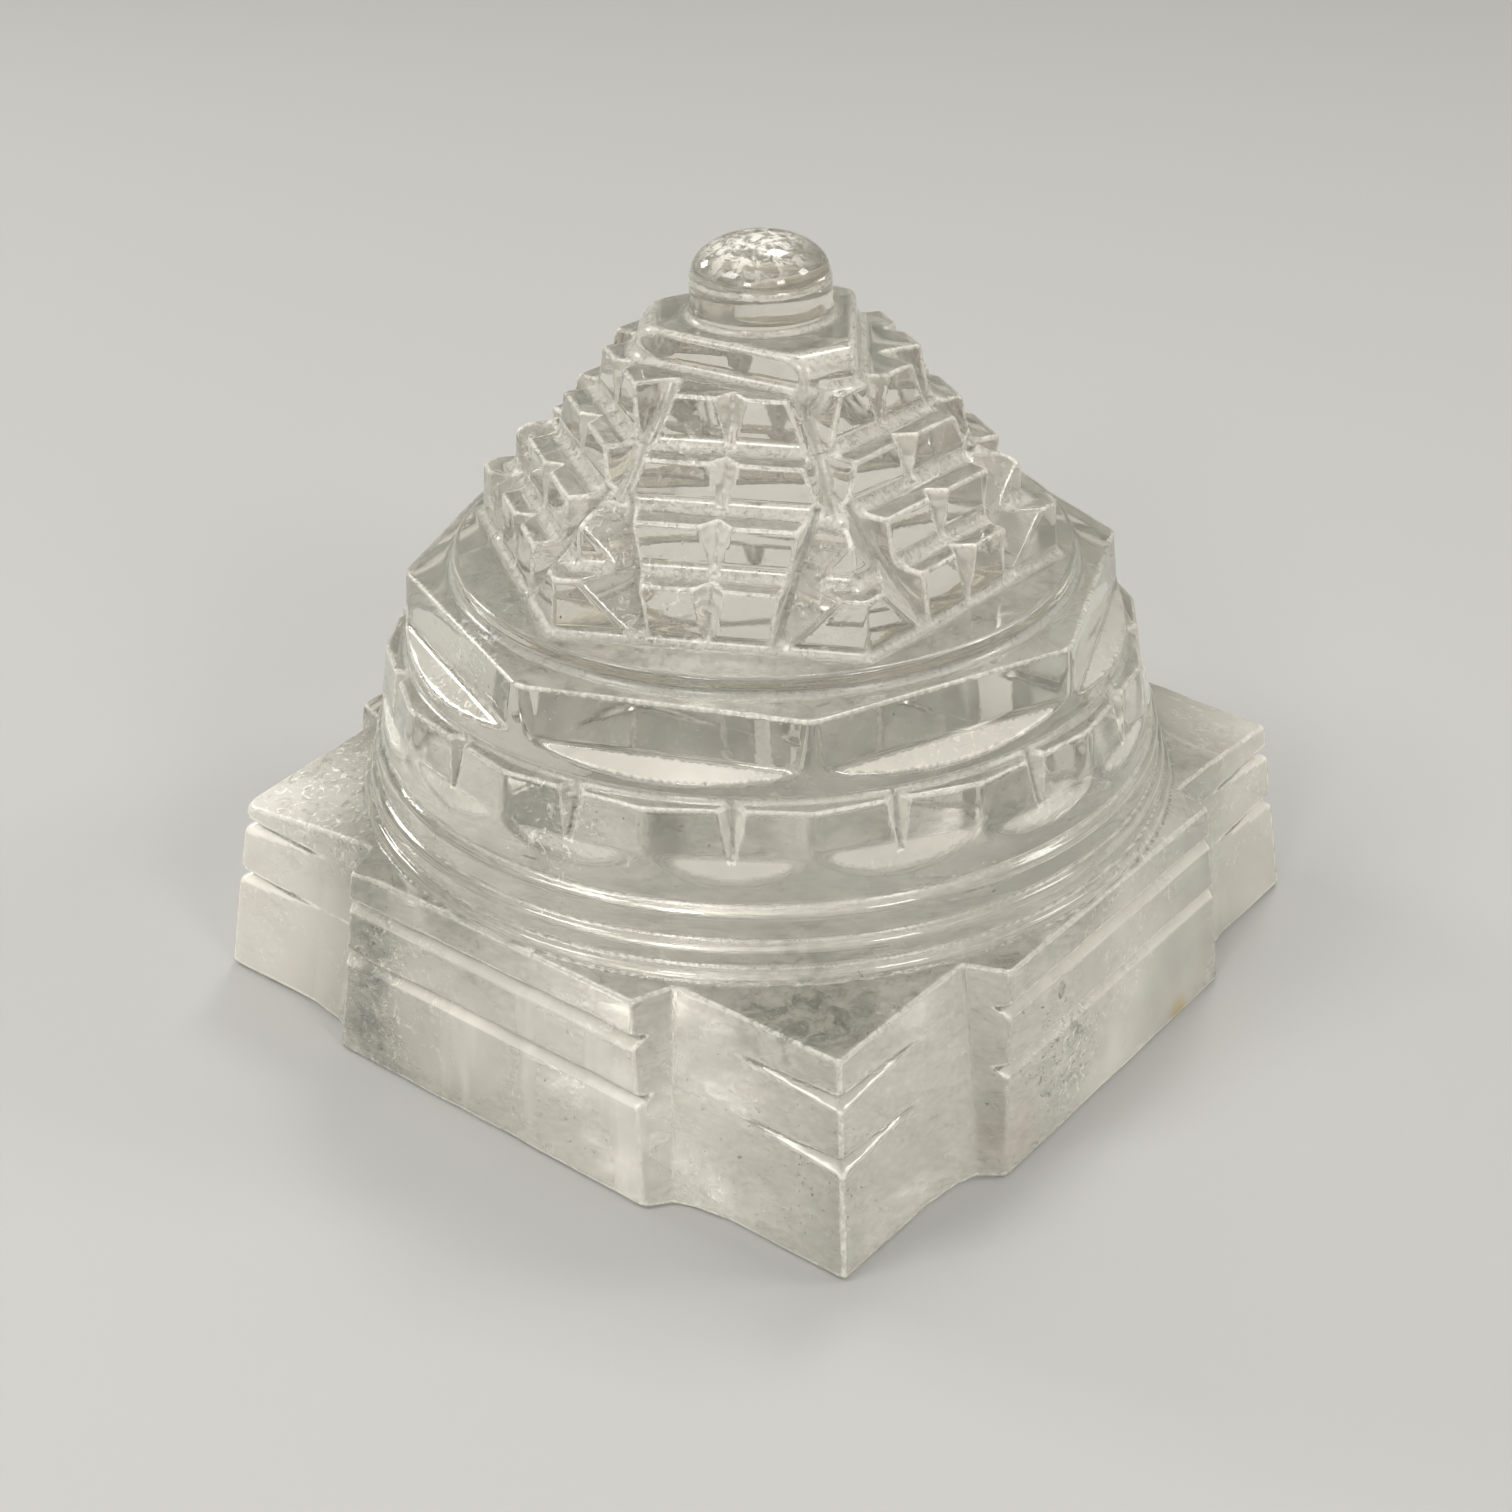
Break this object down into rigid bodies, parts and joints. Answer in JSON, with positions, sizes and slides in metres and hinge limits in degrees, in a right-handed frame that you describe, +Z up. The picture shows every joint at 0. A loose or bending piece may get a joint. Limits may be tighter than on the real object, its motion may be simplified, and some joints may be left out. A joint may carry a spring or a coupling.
{
  "type": "shri yantra",
  "caption": "Stepped meru-form shri yantra carved in clear rock crystal: square gated base, round girdles, petal tiers, notched triangle tiers and a domed bindu.",
  "frame": {"origin": "centre of the flat underside, on the surface the stone rests on", "axes": "+Z up through the bindu; -Y and +X point out of two of the four gates, and the base's corners lie on the diagonals"},
  "size_m": [0.0596, 0.0596, 0.052],
  "materials": {
    "rock_crystal": "wheel-cut and polished clear quartz with faint veils, warm pale tint"
  },
  "bodies": {
    "root": {"bhupura_lower": "rock_crystal", "bhupura_middle": "rock_crystal", "bhupura_upper": "rock_crystal", "mekhala_outer": "rock_crystal", "mekhala_middle": "rock_crystal", "mekhala_inner": "rock_crystal", "sixteen_petal_lotus": "rock_crystal", "eight_petal_lotus": "rock_crystal", "fourteen_triangle_tier": "rock_crystal", "outer_ten_triangle_tier": "rock_crystal", "inner_ten_triangle_tier": "rock_crystal", "eight_triangle_tier": "rock_crystal", "innermost_triangle": "rock_crystal", "bindu": "rock_crystal"}
  },
  "joints": []
}
